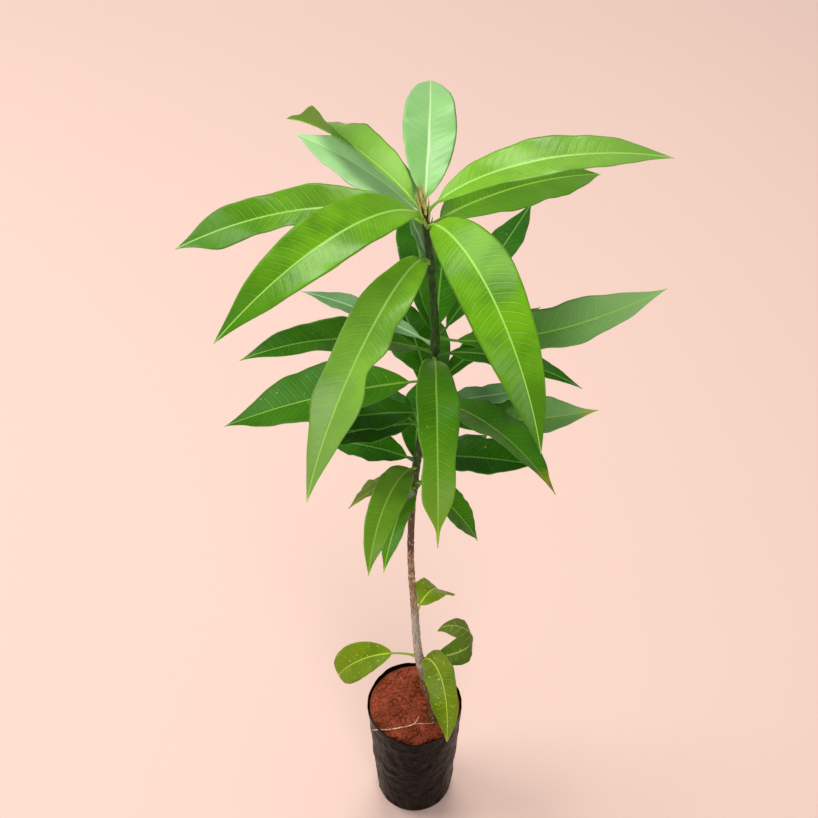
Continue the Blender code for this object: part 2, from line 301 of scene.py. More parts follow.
# Stem: (height, x, y, radius) in mm where it bends, from its foot on the soil to its tip.
stemShape = {
    "bends": (
        (137.3, 16.5, -13.5, 5.2), (147.0, 16.0, -13.0, 4.2), (185.0, 9.0, -9.5, 3.7),
        (225.0, 3.5, -6.5, 3.4), (290.0, -0.5, -4.0, 2.8), (370.0, -3.5, -2.0, 2.5),
        (460.0, -0.5, 0.0, 2.5), (530.0, 6.0, 1.0, 2.6), (592.0, 12.0, 1.0, 2.7),
        (650.0, 10.0, 0.5, 2.4), (700.0, 6.0, 0.0, 2.2), (721.0, 4.3, 0.0, 1.8),
    ),
    "stationStep": 0.9,  # mm between rings
    "around": 32,
    "nodeSwelling": 0.5,  # mm at each whorl
    "swellingEnds": (9, 6),  # mm below and above a whorl where the swelling fades out
    "youngFrom": (330, 520),  # mm, heights between which old bark gives way to young stem
    "furrowDepth": 0.22,  # mm, lengthwise bark furrows
    "lenticels": 260,
    "lenticelHeight": 0.35,  # mm
    "lenticelWide": (0.35, 0.7),  # mm
    "lenticelTall": (0.5, 1.3),  # mm
    "scars": (244, 262, 268, 305, 333, 352, 420, 655, 668),  # mm, heights of old leaf scars
    "scarHeight": 0.22,  # mm
    "scarTall": 0.9,  # mm
}


# Centre (x, y) and radius of the stem at some heights: a cubic through its bends, whose
# slopes are the bends' own central differences.
def stemAt(heights):
    bends = np.array(stemShape["bends"])
    heights = np.atleast_1d(heights)
    index = np.clip(np.searchsorted(bends[:, 0], heights) - 1, 0, len(bends) - 2)
    slopes = np.gradient(bends[:, 1:], bends[:, 0], axis=0)
    span = (bends[index + 1, 0] - bends[index, 0])[:, None]
    share = (heights[:, None] - bends[index, :1]) / span
    return (bends[index, 1:] * (1 + 2 * share) * (1 - share) ** 2
            + bends[index + 1, 1:] * share ** 2 * (3 - 2 * share)
            + slopes[index] * span * share * (1 - share) ** 2
            - slopes[index + 1] * span * share ** 2 * (1 - share))


# Midrib of a leaf: the path whose climb goes from rise to fall as share^bend, and whose
# heading turns by the swing. Returns the points, the way ahead, and the level side.
def leafMidrib(row, height, shares):
    azimuth, rise, fall, length, _, swing, _, _, bend = row[:9]

    def heading(share):
        climb = np.radians(rise + (fall - rise) * share ** bend)
        turn = np.radians(azimuth + swing * share)
        ahead = places(np.cos(climb) * np.cos(turn), np.cos(climb) * np.sin(turn), np.sin(climb))
        return ahead, places(-np.sin(turn), np.cos(turn), 0)

    steps, _ = heading((shares[1:] + shares[:-1]) / 2)
    x, y, radius = stemAt(height)[0]
    reach = radius - leafShape["sunk"]
    facing = np.radians(azimuth)
    root = np.array([x + reach * np.cos(facing), y + reach * np.sin(facing), height])
    spans = np.diff(shares)[:, None] * length
    points = np.vstack([root, root + np.cumsum(steps * spans, 0)])
    return points, *heading(shares)


# Half width of the blade: t^near * (1-t)^far with t from petiole to tip, as a share of its peak,
# drawn in over its last fifth.
def bladeHalfWidth(row, shares):
    petiole, near, far, draw, tip = outlines[row[9]]
    peak = near / (near + far)
    t = np.clip((shares - petiole) / (1 - petiole), 0, 1)
    full = t ** near * (1 - t) ** far / (peak ** near * (1 - peak) ** far)
    half = row[4] / 2 * full * (1 - draw * step(0.78, 0.97, t))
    rib = leafShape["ribRadius"]
    return np.maximum(half, rib + (tip - rib) * t)


# A leaf: a closed thin section carried along the midrib. Across the blade, q runs from -1 to 1
# over the top and back under. Height over the midrib = |q| * (half width * sin(fold) + ripple)
# + quilting between the side veins; the rib is a bump of its own radius above and below.
def makeLeaf(name, row, height, number, material, slotName):
    shape, traits = leafShape, row[11]
    length, width, roll, twist = row[3], row[4], row[6], row[7]
    petiole = outlines[row[9]][0]
    shares = np.linspace(0, 1, int(length / shape["stationStep"]) + 1)
    midrib, ahead, level = leafMidrib(row, height, shares)
    half = bladeHalfWidth(row, shares)
    curlStart, curlTurn = traits.get("curl", (0.5, 0))
    turned = np.radians(roll + twist * shares + curlTurn * step(curlStart, 1, shares))[:, None]
    side = level * np.cos(turned) + np.cross(ahead, level) * np.sin(turned)
    above = np.cross(ahead, side)

    steps = shape["acrossSteps"]
    spread = np.linspace(-1, 1, steps + 1)
    spread = np.sign(spread) * np.abs(spread) ** shape["rimSpread"]
    q = np.concatenate([spread, spread[-2:0:-1]])[None, :]
    under = np.concatenate([np.zeros(steps + 1), np.ones(steps - 1)])[None, :]
    rim = np.isclose(np.abs(q), 1)
    s = shares[:, None]
    h = half[:, None] * np.ones_like(q)
    for place, reach, left, right in traits.get("bulges", ()):
        h = h * (1 + np.where(q > 0, left, right) * np.exp(-((s - place) / reach) ** 2))
    across = q * h
    off = np.abs(across)
    relative = 2 * h / width
    blade = step(petiole, petiole + 0.05, s)

    fold = np.radians(traits.get("fold", shape["foldDegrees"]))
    wave = traits.get("wave", shape["waveHeight"])
    phase = shape["waveTurn"] * number
    ripple = wave * relative ** 2 * np.sin(2 * np.pi * shape["waveCount"] * s + phase + q)
    crimps = np.sin(2 * np.pi * shape["frillCount"] * s + 2 * phase + 3 * q)
    frill = shape["frillHeight"] * relative * q ** 4 * crimps
    lift = np.abs(q) * (h * np.sin(fold) + ripple) + frill * blade

    # side veins: the phase counts them along the midrib, so each lies at a whole number
    hooked = shape["veinLean"] * off + shape["veinHook"] * np.abs(q) ** 4
    vein = (s * length - hooked) / shape["veinSpacing"]
    vein = vein + shape["veinWander"] * smoothNoise(places(vein * 0.7, q * 1.5, number), 5)
    alternate = vein + 0.5 * (q > 0)
    middle = np.abs(np.sin(np.pi * alternate)) ** 1.2
    lift = lift + shape["pillowHeight"] * middle * step(0.8, 4.0, off) * (1 - q ** 8) * blade

    # the midrib's bump: a half circle along the petiole, and a soft ridge in the blade
    lost, power = shape["ribTaper"]
    swollen, swollenTo = shape["pulvinus"]
    swell = (swollen - shape["ribRadius"]) * (1 - step(0, swollenTo, s * length))
    rib = shape["ribRadius"] * (1 - lost * s ** power) + swell
    stalk = np.sqrt(np.clip(1 - (off / rib) ** 2, 0, 1)) * rib
    over, below = shape["ribRidge"]
    ridge = np.exp(-1.6 * (off / rib) ** 2) * rib * np.where(under, below, over)
    sheet = shape["bladeThickness"] / 2 * np.sqrt(1 - np.minimum(np.abs(q), 1) ** 6)
    offset = (1 - blade) * stalk + blade * (ridge + sheet)
    offset = np.where(rim, 0, offset) * np.where(under, -1, 1)
    # the blade's halves narrow as they fold, and the petiole keeps its round section
    reachAcross = across * (1 - blade * (1 - np.cos(fold)))
    reachAcross = np.where(s < petiole, q * (rib + 0 * h), reachAcross)

    rings = (midrib[:, None] + side[:, None] * reachAcross[..., None]
             + above[:, None] * (lift * blade + offset)[..., None])
    points, faces = closeRings(rings)

    # what the leaf's colours need at each point, the painted sheen's strength among them; dry past 1
    # is no dry tip
    maps = {
        "bladePlace": places(vein, across, h),
        "bladeLook": places(s, np.where(rim, 0.5, under), blade),
        "bladeWearAndSheen": places(traits.get("dry", 1.1), (number * 0.618) % 1,
                            between(traits.get("paintedSheen", (0, 0)), s + 0 * q)),
    }
    attributes = {}
    for key, values in maps.items():
        values = values.reshape(-1, 3)
        attributes[key] = np.vstack([values, values[0], values[-1]])
    makePiece("blade" + name[4:], points, faces, material, slotName, (name,), attributes)


# Mango leaf: a leathery skin, satin above and duller below, whose pale midrib and side veins
# stand out of the green, with a pale painted sheen on some leaves. Tones go from the newest flush
# at the stem's tip to the oldest leaf by the soil; shadedOld is an old leaf's greens darkened as
# painted shade. A tone is the greens of its patches (blade, deep) and between its veins (light,
# which also paints the light on the quilted panels), its vein, underside and painted sheen
# colours, the share of corky specks, how rough and how shiny its top is, and how far its tip
# half deepens.
toneParts = ("blade", "light", "deep", "vein", "under", "paintedSheen", "specks", "rough", "shine", "tip")
leafTones = {
    "fresh": ("#66a204", "#7eba1c", "#447c02", "#a8dc62", "#5f8a0c", "#b0da70", 0.0, 0.28, 0.32, 0.95),
    "pale": ("#66b032", "#8acc66", "#529e26", "#c8eca6", "#93c46a", "#b2dea2", 0.0, 0.34, 0.5, 0.0),
    "silver": ("#6d9f5e", "#8db97f", "#568a4a", "#b4d8a0", "#8fb582", "#a6d494", 0.0, 0.45, 0.35, 0.3),
    "mid": ("#458604", "#62a40e", "#367204", "#9ccc48", "#84ad55", "#9abc3e", 0.02, 0.34, 0.16, 0.0),
    "grown": ("#387406", "#509210", "#2a6204", "#8cbc44", "#6a9848", "#a6ca88", 0.05, 0.36, 0.12, 0.4),
    "deep": ("#2a6406", "#418012", "#1d5004", "#74aa48", "#5c8a46", "#8cb46c", 0.03, 0.36, 0.12, 0.4),
    # an old leaf's greens darkened as painted shade, for the basal leaf that lies under its own curl
    "shadedOld": ("#506e06", "#6a8a12", "#3e5c04", "#a2c24c", "#5f7020", "#a6b650", 0.12, 0.45, 0.25, 0.3),
    "old": ("#668004", "#80940e", "#4c6c02", "#b0c83c", "#7f9430", "#b4c06c", 0.3, 0.4, 0.16, 0.0),
}
veinLook = {
    "sideWidth": 0.05,  # half width of a side vein as a share of the vein spacing
    "sideStrength": 0.28,
    "ribWidth": 0.85,  # mm half width of the midrib's pale line at the leaf's root
    "ribTip": 0.3,  # mm at the tip
    "marginWidth": 0.35,  # mm, pale cartilage edge
    "netCells": 700,  # per metre, meshes of the finest veins
    "mottleScale": 45,  # per metre: patches of 20 mm
    "speckScale": 420,  # per metre
    "dryScale": 150,  # per metre, of the wandering front of a dry tip
    "speckHex": "#c4c868",
    "dryHex": "#7d6a35",
    "yellowHex": "#a9a022",
    "underRough": 0.6,
    "bumpDepth": 0.0001,  # m
}


def leafMaterial(tone, colours):
    look = veinLook
    material, tree, shader = startMaterial("mangoLeaf" + tone.capitalize(), {
        "IOR": 1.45, "Specular IOR Level": colours["shine"],
    })
    maps = []
    for key in ("bladePlace", "bladeLook", "bladeWearAndSheen"):
        kept = addNode(tree, "Attribute", output=1, attribute_name=key)
        maps += addNode(tree, "SeparateXYZ", {0: kept}).node.outputs[:]
    # the last map holds where the dry tip starts, a random tint, and the painted sheen's strength
    vein, across, half, share, under, blade, dry, chance, paintedSheen = maps
    spot = addNode(tree, "TexCoord", output=3)

    # side veins: pale where the vein phase passes a whole number, fading before the margin
    off = addNode(tree, "Math", {0: across}, operation="ABSOLUTE")
    left = addNode(tree, "Math", {0: across, 1: 0.0}, operation="GREATER_THAN")
    alternate = addNode(tree, "Math", {0: left, 1: 0.5, 2: vein}, operation="MULTIPLY_ADD")
    toVein = addNode(tree, "Math", {0: alternate, 1: 0.5}, operation="PINGPONG")
    line = addNode(tree, "MapRange", {0: toVein, 1: look["sideWidth"] * 0.3,
                                      2: look["sideWidth"] * 1.6, 3: 1, 4: 0}, **smooth)
    inside = addNode(tree, "Math", {0: half, 1: off}, operation="SUBTRACT")
    fading = addNode(tree, "MapRange", {0: inside, 1: 0.8, 2: 6.0, 3: 0.1, 4: 1.0}, **smooth)
    line = addNode(tree, "Math", {0: line, 1: fading}, operation="MULTIPLY")
    line = addNode(tree, "Math", {0: line, 1: blade}, operation="MULTIPLY")
    # midrib: a pale line that narrows towards the tip; the whole petiole has its colour
    ribHalf = addNode(tree, "Math", {0: share, 1: look["ribTip"] - look["ribWidth"],
                                     2: look["ribWidth"]}, operation="MULTIPLY_ADD")
    ribSide = addNode(tree, "Math", {0: off, 1: ribHalf}, operation="DIVIDE")
    rib = addNode(tree, "MapRange", {0: ribSide, 1: 0.6, 2: 1.3, 3: 1, 4: 0}, **smooth)
    margin = addNode(tree, "MapRange", {0: inside, 1: look["marginWidth"] * 0.5,
                                        2: look["marginWidth"] * 1.6, 3: 1, 4: 0}, **smooth)

    # green: two tones in soft patches, lighter towards the leaf's root, and lighter in the middle of
    # each quilted panel between the side veins and darker towards the sunk veins, as painted light and
    # shade
    mottle = addNode(tree, "TexNoise", {"Vector": spot, "Scale": look["mottleScale"], "Detail": 3})
    patches = addNode(tree, "MapRange", {0: mottle, 1: 0.32, 2: 0.68}, **smooth)
    colour = addNode(tree, "Mix", {0: patches, 6: linear(colours["deep"]),
                                   7: linear(colours["blade"])}, **colourMix)
    rootward = addNode(tree, "MapRange", {0: share, 1: 0.04, 2: 0.5, 3: 0.55, 4: 0.05}, **smooth)
    # painted light on each quilted panel, fading to painted shade at the sunk side veins
    quiltLight = addNode(tree, "MapRange", {0: toVein, 1: 0.05, 2: 0.45, 4: 0.16}, **smooth)
    paler = addNode(tree, "Math", {0: rootward, 1: quiltLight}, operation="ADD")
    net = addNode(tree, "TexVoronoi", {"Vector": spot, "Scale": look["netCells"]},
                  feature="DISTANCE_TO_EDGE")
    netLine = addNode(tree, "MapRange", {0: net, 1: 0.02, 2: 0.16, 3: 0.14, 4: 0}, **smooth)
    for cover in (paler, netLine):
        colour = addNode(tree, "Mix", {0: cover, 6: colour, 7: linear(colours["light"])}, **colourMix)
    tint = addNode(tree, "MapRange", {0: chance, 3: 0.93, 4: 1.07})
    colour = addNode(tree, "HueSaturation", {"Value": tint, "Color": colour})
    vivid = addNode(tree, "Math", {0: line, 1: look["sideStrength"]}, operation="MULTIPLY")
    colour = addNode(tree, "Mix", {0: vivid, 6: colour, 7: linear(colours["vein"])}, **colourMix)
    if colours["specks"]:
        grains = addNode(tree, "TexNoise", {"Vector": spot, "Scale": look["speckScale"], "Detail": 2})
        least = 0.72 - colours["specks"] * 0.25
        mark = addNode(tree, "MapRange", {0: grains, 1: least, 2: least + 0.04, 4: 0.6}, **smooth)
        colour = addNode(tree, "Mix", {0: mark, 6: colour, 7: linear(look["speckHex"])}, **colourMix)

    # a pale margin, a deeper green past the middle, and the leaf's own share of painted sheen;
    # then its dry tip: yellow, then brown, along a wandering front
    edge = addNode(tree, "Math", {0: margin, 1: 0.55}, operation="MULTIPLY")
    tipward = addNode(tree, "MapRange", {0: share, 1: 0.55, 2: 0.95, 4: colours["tip"]}, **smooth)
    front = addNode(tree, "TexNoise", {"Vector": spot, "Scale": look["dryScale"], "Detail": 3})
    along = addNode(tree, "Math", {0: front, 1: 0.16, 2: share}, operation="MULTIPLY_ADD")
    past = addNode(tree, "Math", {0: along, 1: dry}, operation="SUBTRACT")
    yellowed = addNode(tree, "MapRange", {0: past, 1: 0.07, 2: 0.17, 4: 0.6}, **smooth)
    browned = addNode(tree, "MapRange", {0: past, 1: 0.14, 2: 0.24, 4: 0.9}, **smooth)
    for cover, over in ((edge, colours["vein"]), (tipward, colours["deep"]),
                        (paintedSheen, colours["paintedSheen"]), (yellowed, look["yellowHex"]),
                        (browned, look["dryHex"])):
        colour = addNode(tree, "Mix", {0: cover, 6: colour, 7: linear(over)}, **colourMix)

    # underside: paler and duller, its veins a little lighter still
    faint = addNode(tree, "Math", {0: line, 1: 0.5}, operation="MULTIPLY")
    below = addNode(tree, "Mix", {0: faint, 6: linear(colours["under"]),
                                  7: linear(colours["vein"])}, **colourMix)
    colour = addNode(tree, "Mix", {0: under, 6: colour, 7: below}, **colourMix)
    ribbed = addNode(tree, "Math", {0: rib, 1: 0.85}, operation="MULTIPLY")
    stalked = addNode(tree, "MapRange", {0: blade, 3: 0.45, 4: 0})
    for cover, over in ((ribbed, colours["vein"]), (stalked, colours["blade"])):
        colour = addNode(tree, "Mix", {0: cover, 6: colour, 7: linear(over)}, **colourMix)
    tree.links.new(colour, shader.inputs["Base Color"])

    rough = addNode(tree, "MapRange", {0: under, 3: colours["rough"], 4: look["underRough"]})
    worn = addNode(tree, "Math", {0: browned, 1: 0.25, 2: rough}, operation="MULTIPLY_ADD")
    tree.links.new(worn, shader.inputs["Roughness"])
    relief = addNode(tree, "Math", {0: line, 1: 0.6, 2: netLine}, operation="MULTIPLY_ADD")
    bump = addNode(tree, "Bump", {"Height": relief, "Distance": look["bumpDepth"], "Strength": 0.8})
    tree.links.new(bump, shader.inputs["Normal"])
    return material


leafSlots = {"top": "young_leaf", "upper": "young_leaf", "low": "old_leaf", "basal": "old_leaf"}
leafMaterials = {tone: leafMaterial(tone, dict(zip(toneParts, row)))
                 for tone, row in leafTones.items()}
number = 0
for whorl, (whorlTop, whorlSpacing, rows) in whorls.items():
    for index, row in enumerate(rows):
        row = row + plainLeaf[len(row):]
        makeLeaf(f"leaf_{whorl}_{index + 1}", row, whorlTop - whorlSpacing * index, number,
                 leafMaterials[row[10]], leafSlots.get(whorl, "grown_leaf"))
        number += 1
print("leaves made:", number)


# Bark of a mango seedling: furrowed fibres in bands by height, brown at the foot and darkened there
# as painted shade under the low leaves, weathered grey, brown, darkest umber, then the newest
# length still green, with pale corky lenticels.
barkLook = {
    "bands": (  # dark and pale fibres, and the heights in m where the band comes in
        # the foot: brown bark darkened as painted shade under the low leaves
        ("#3c2610", "#6f4a26", 0.0, 0.01),
        ("#86756a", "#c2b2a8", 0.225, 0.262),
        ("#5a3c20", "#a8845e", 0.305, 0.34),
        ("#2a1408", "#5c3c22", 0.385, 0.41),
        ("#142e02", "#305208", 0.43, 0.52),
    ),
    "bandWander": 0.06,  # m
    "lenticelHex": "#d0b898",
    "fibreScale": 900,  # per metre round the stem
    "fibreStretch": 0.18,  # of that scale along it
    "bumpDepth": 0.00025,  # m
}


def barkMaterial():
    look = barkLook
    material, tree, shader = startMaterial("mangoBark", {"Roughness": 0.6, "IOR": 1.45})
    spot = addNode(tree, "TexCoord", output=3)
    height = addNode(tree, "SeparateXYZ", {0: spot}, output=2)
    wander = addNode(tree, "TexNoise", {"Vector": spot, "Scale": 70, "Detail": 4})
    place = addNode(tree, "Math", {0: wander, 1: look["bandWander"], 2: height}, operation="MULTIPLY_ADD")
    kept = addNode(tree, "Attribute", output=1, attribute_name="barkMarks")
    marks = addNode(tree, "SeparateXYZ", {0: kept})
    stretched = addNode(tree, "Mapping", {"Vector": spot, "Scale": (1, 1, look["fibreStretch"])})
    fibres = addNode(tree, "TexNoise", {"Vector": stretched, "Scale": look["fibreScale"], "Detail": 4})
    lit = addNode(tree, "MapRange", {0: fibres, 1: 0.33, 2: 0.68}, **smooth)
    colour = linear(look["bands"][0][0])
    for dark, pale, start, end in look["bands"]:
        shade = addNode(tree, "Mix", {0: lit, 6: linear(dark), 7: linear(pale)}, **colourMix)
        reached = addNode(tree, "MapRange", {0: place, 1: start, 2: end}, **smooth)
        colour = addNode(tree, "Mix", {0: reached, 6: colour, 7: shade}, **colourMix)
    colour = addNode(tree, "Mix", {0: marks, 6: colour, 7: linear(look["lenticelHex"])}, **colourMix)
    tree.links.new(colour, shader.inputs["Base Color"])
    bump = addNode(tree, "Bump", {"Height": fibres, "Distance": look["bumpDepth"], "Strength": 0.6})
    tree.links.new(bump, shader.inputs["Normal"])
    return material


# Stem: circles along the stem's curve. Radius = smooth radius + swelling at each whorl
# + furrows that run lengthwise + a thin ring for each old leaf scar + round bumps for lenticels.
def makeStem():
    shape = stemShape
    low, high = shape["bends"][0][0], shape["bends"][-1][0]
    heights = np.linspace(low, high, int((high - low) / shape["stationStep"]))
    x, y, smoothRadius = (values[:, None] for values in stemAt(heights).T)
    radius = smoothRadius
    turn = circle(shape["around"])[None, :]
    z = heights[:, None]
    below, above = shape["swellingEnds"]
    for whorlTop, spacing, rows in whorls.values():
        whorlFoot = whorlTop - spacing * (len(rows) - 1)
        inWhorl = step(whorlFoot - below, whorlFoot, z) * (1 - step(whorlTop, whorlTop + above, z))
        radius = radius + shape["nodeSwelling"] * inWhorl
    age = 1 - step(*shape["youngFrom"], z)
    surface = places(np.cos(turn) * 3, np.sin(turn) * 3, z / 9)
    radius = radius + shape["furrowDepth"] * (0.35 + 0.65 * age) * layeredNoise(surface, 21)
    scars = np.exp(-((z[:, :, None] - np.array(shape["scars"])) / shape["scarTall"]) ** 2).sum(-1)
    radius = radius + shape["scarHeight"] * scars
    chance = np.random.default_rng(31)
    marks = 0 * turn + 0.35 * scars * age
    for _ in range(shape["lenticels"]):
        at = between((low, high), chance.random() ** 1.4)
        facing = chance.uniform(0, 2 * np.pi)
        wide = chance.uniform(*shape["lenticelWide"])
        tall = chance.uniform(*shape["lenticelTall"])
        turnGap = (turn - facing + np.pi) % (2 * np.pi) - np.pi
        lenticel = np.exp(-(turnGap * smoothRadius / wide) ** 2 - ((z - at) / tall) ** 2)
        radius = radius + shape["lenticelHeight"] * lenticel * (0.4 + 0.6 * age)
        marks = marks + lenticel * (0.12 + 0.88 * age)
    points, faces = closeRings(places(x + radius * np.cos(turn), y + radius * np.sin(turn), z))
    marks = np.concatenate([np.clip(marks, 0, 1).ravel(), [0, 0]])
    attributes = {"barkMarks": places(marks, 0, 0)}
    makePiece("barkStem", points, faces, barkMaterial(), "bark", ("stem",), attributes)


makeStem()


budShape = {
    "scales": 18,
    "length": (9.0, 21.0),  # mm, from the lowest scale to the middle one
    "width": (2.6, 1.7),  # mm
    "halfThick": 0.25,  # mm
    "hollow": 0.35,  # cupping round the bud, of the half width
    "lean": (24, 5),  # degrees from the bud's axis
    "axisLean": (-0.16, 0.05),  # the bud's own lean in x and y for each mm up
    "start": (705.0, 722.0),  # mm, heights of the lowest and the highest scale's foot
    "curl": 0.12,  # of its length, how far a tip bends in
    "greens": ("#7f9020", "#c6cf62"),
    "straws": ("#a88c44", "#e6d08e"),
    "strawFrom": (0.708, 0.728),  # m
}


# Dry bud scales: papery, yellow-green at the foot, straw-brown above.
def budMaterial():
    material, tree, shader = startMaterial("budScale", {"Roughness": 0.6, "IOR": 1.45})
    spot = addNode(tree, "TexCoord", output=3)
    stretched = addNode(tree, "Mapping", {"Vector": spot, "Scale": (1, 1, 0.25)})
    fibres = addNode(tree, "TexNoise", {"Vector": stretched, "Scale": 1100, "Detail": 3})
    shade = addNode(tree, "MapRange", {0: fibres, 1: 0.35, 2: 0.65})
    green, straw = (addNode(tree, "Mix", {0: shade, 6: linear(dark), 7: linear(pale)}, **colourMix)
                    for dark, pale in (budShape["greens"], budShape["straws"]))
    height = addNode(tree, "SeparateXYZ", {0: spot}, output=2)
    start, end = budShape["strawFrom"]
    upper = addNode(tree, "MapRange", {0: height, 1: start, 2: end})
    colour = addNode(tree, "Mix", {0: upper, 6: green, 7: straw}, **colourMix)
    tree.links.new(colour, shader.inputs["Base Color"])
    bump = addNode(tree, "Bump", {"Height": fibres, "Distance": 0.0002, "Strength": 0.5})
    tree.links.new(bump, shader.inputs["Normal"])
    return material


# Bud: narrow pointed scales in a spiral round the stem's tip. Each is a curved tapering strip:
# half width = sin(pi*t^0.8), and it leans out by its own angle, the lowest most.
def makeBud():
    shape = budShape
    shells = []
    t = np.linspace(0, 1, 14)
    turn = circle(10)
    for number in range(shape["scales"]):
        inner = number / (shape["scales"] - 1)
        length = between(shape["length"], inner ** 0.8)
        foot = between(shape["start"], inner)
        width = between(shape["width"], inner)
        lean = np.radians(between(shape["lean"], inner))
        facing = number * 2.4
        x, y, radius = stemAt(min(foot, stemShape["bends"][-1][0]))[0]
        along = length * np.cos(lean) * t
        out = (radius + 0.35) * (1 - 0.75 * inner ** 3)
        out = out + length * (np.sin(lean) * t - shape["curl"] * t ** 2)
        outward = np.array([np.cos(facing), np.sin(facing), 0])
        tilt = np.array([*shape["axisLean"], 1])
        path = np.array([x, y, foot]) + outward * out[:, None] + tilt * along[:, None]
        half = np.maximum(width / 2 * np.sin(np.pi * (0.12 + 0.88 * t) ** 0.8), 0.05)[:, None]
        level = np.array([-np.sin(facing), np.cos(facing), 0])
        cup = shape["halfThick"] * np.sin(turn) - shape["hollow"] * half * np.cos(turn) ** 2
        shells.append(closeRings(path[:, None] + level * (half * np.cos(turn))[..., None]
                                 + outward * cup[..., None]))
    makePiece("budScales", *joinShells(shells), budMaterial(), "bud_scales", ("bud",))


makeBud()
print("stem and bud made")


bagShape = {
    "height": 141.0, "rimRadius": 40.0, "heelRadius": 33.5, "baseRadius": 27.0, "heelHeight": 12.0,
    "film": 0.35,  # mm thick
    "around": 288,
    "wallRings": 109,
    "lip": 26,  # of these rings, as many as the inside keeps under the rim
    "lump": 0.55,  # mm, soft lumps where the film lies on the soil
    "lumpSize": 12.0,  # mm
    "dimple": 0.35,  # mm, smaller dents
    "dimpleSize": 4.5,
    "crease": 0.72,  # mm, sharp creases
    "creaseSize": 8.0,
    "most": 1.3,  # mm that the film may stand out of its cup
    "heelFade": (2, 10),  # mm, heights between which the smooth base turns uneven
    "rimFade": (122, 141),  # mm, heights between which the rim's own wave comes in
    "rimWave": 1.6,  # mm
    "black": "#070504",
    "redBrown": "#331c12",
    "redBrownTop": 0.045,  # m
}


# Black polyethylene film: thin, creased, softly shining, with red-brown patches that grow towards
# the bottom.
def filmMaterial():
    material, tree, shader = startMaterial("polyethyleneFilm", {
        "IOR": 1.51, "Specular IOR Level": 0.03, "Sheen Weight": 0.01, "Sheen Roughness": 0.5,
        "Sheen Tint": linear("#a3705a"),
    })
    spot = addNode(tree, "TexCoord", output=3)
    height = addNode(tree, "SeparateXYZ", {0: spot}, output=2)
    redBrownNoise = addNode(tree, "TexNoise", {"Vector": spot, "Scale": 90, "Detail": 5})
    low = addNode(tree, "MapRange", {0: height, 2: bagShape["redBrownTop"], 3: 0.14, 4: 0})
    redBrown = addNode(tree, "Math", {0: redBrownNoise, 1: low}, operation="ADD")
    redBrown = addNode(tree, "MapRange", {0: redBrown, 1: 0.5, 2: 0.8, 4: 0.5})
    colour = addNode(tree, "Mix", {0: redBrown, 6: linear(bagShape["black"]),
                                   7: linear(bagShape["redBrown"])}, **colourMix)
    tree.links.new(colour, shader.inputs["Base Color"])
    rough = addNode(tree, "MapRange", {0: redBrown, 2: 0.5, 3: 0.3, 4: 0.65})
    tree.links.new(rough, shader.inputs["Roughness"])
    crinkle = addNode(tree, "TexNoise", {"Vector": spot, "Scale": 330, "Detail": 4})
    bump = addNode(tree, "Bump", {"Height": crinkle, "Distance": 0.0009, "Strength": 0.8})
    tree.links.new(bump, shader.inputs["Normal"])
    return material


# Bag: a turned cup, up its outside, over the rim and down inside to its floor. Radius = profile
# + lumps + dents + creases, sharp where a noise passes zero: 0.3 - |noise|.
def makeBag():
    shape = bagShape
    heel = np.linspace(0, np.pi / 2, 12)
    heel = np.stack([between((shape["baseRadius"], shape["heelRadius"]), np.sin(heel)),
                     shape["heelHeight"] * (1 - np.cos(heel))], -1)
    up = np.linspace(0, 1, shape["wallRings"] + 1)[1:]
    wall = np.stack([between((shape["heelRadius"], shape["rimRadius"]), up),
                     between((shape["heelHeight"], shape["height"]), up)], -1)
    floor = np.stack([np.linspace(2, shape["baseRadius"], 10)[:-1], np.zeros(9)], -1)
    downWall, inward = wall[::-1], np.array([-shape["film"], 0])
    profile = np.vstack([floor, heel, wall, downWall[:shape["lip"]] + inward,
                         downWall[shape["lip"]::9] + inward,
                         floor[::-1][::2] + np.array([0, shape["film"]])])
    radius, z = profile[:, 0][:, None], profile[:, 1][:, None]
    turn = circle(shape["around"])[None, :]
    around = places(np.cos(turn) * 36, np.sin(turn) * 36, z * 0.5)
    lumps = layeredNoise(around / shape["lumpSize"], 41, 2)
    dimples = smoothNoise(around / shape["dimpleSize"], 43)
    creases = 0.3 - np.abs(layeredNoise(around / shape["creaseSize"], 47, 2))
    change = shape["lump"] * lumps + shape["dimple"] * dimples + shape["crease"] * creases
    rimPart = step(*shape["rimFade"], z)
    change = step(*shape["heelFade"], z) * np.minimum(change, shape["most"]) * (1 - 0.5 * rimPart)
    rimPlaces = places(np.cos(turn) * 3.2, np.sin(turn) * 3.2, 0 * z)
    lifted = z + rimPart * shape["rimWave"] * layeredNoise(rimPlaces, 53, 2)
    radius = radius + change
    points, faces = closeRings(places(radius * np.cos(turn), radius * np.sin(turn), lifted))
    makePiece("filmBag", points, faces, filmMaterial(), "bag_film", ("bag",))


makeBag()


soilShape = {
    "height": 138.3, "edgeDrop": 1.6, "radius": 38.4, "around": 192,
    "unevenness": 0.78,  # mm
    "below": ((36.8, 110), (34.5, 60), (32.0, 12), (27.5, 2.5), (2.0, 1.5)),  # mm, radius, height
    "crumbs": 1300,
    "crumbSize": (0.5, 2.8),  # mm
    "damp": "#743218",
    "dry": "#a24c32",
    "grain": "#b0694c",
}


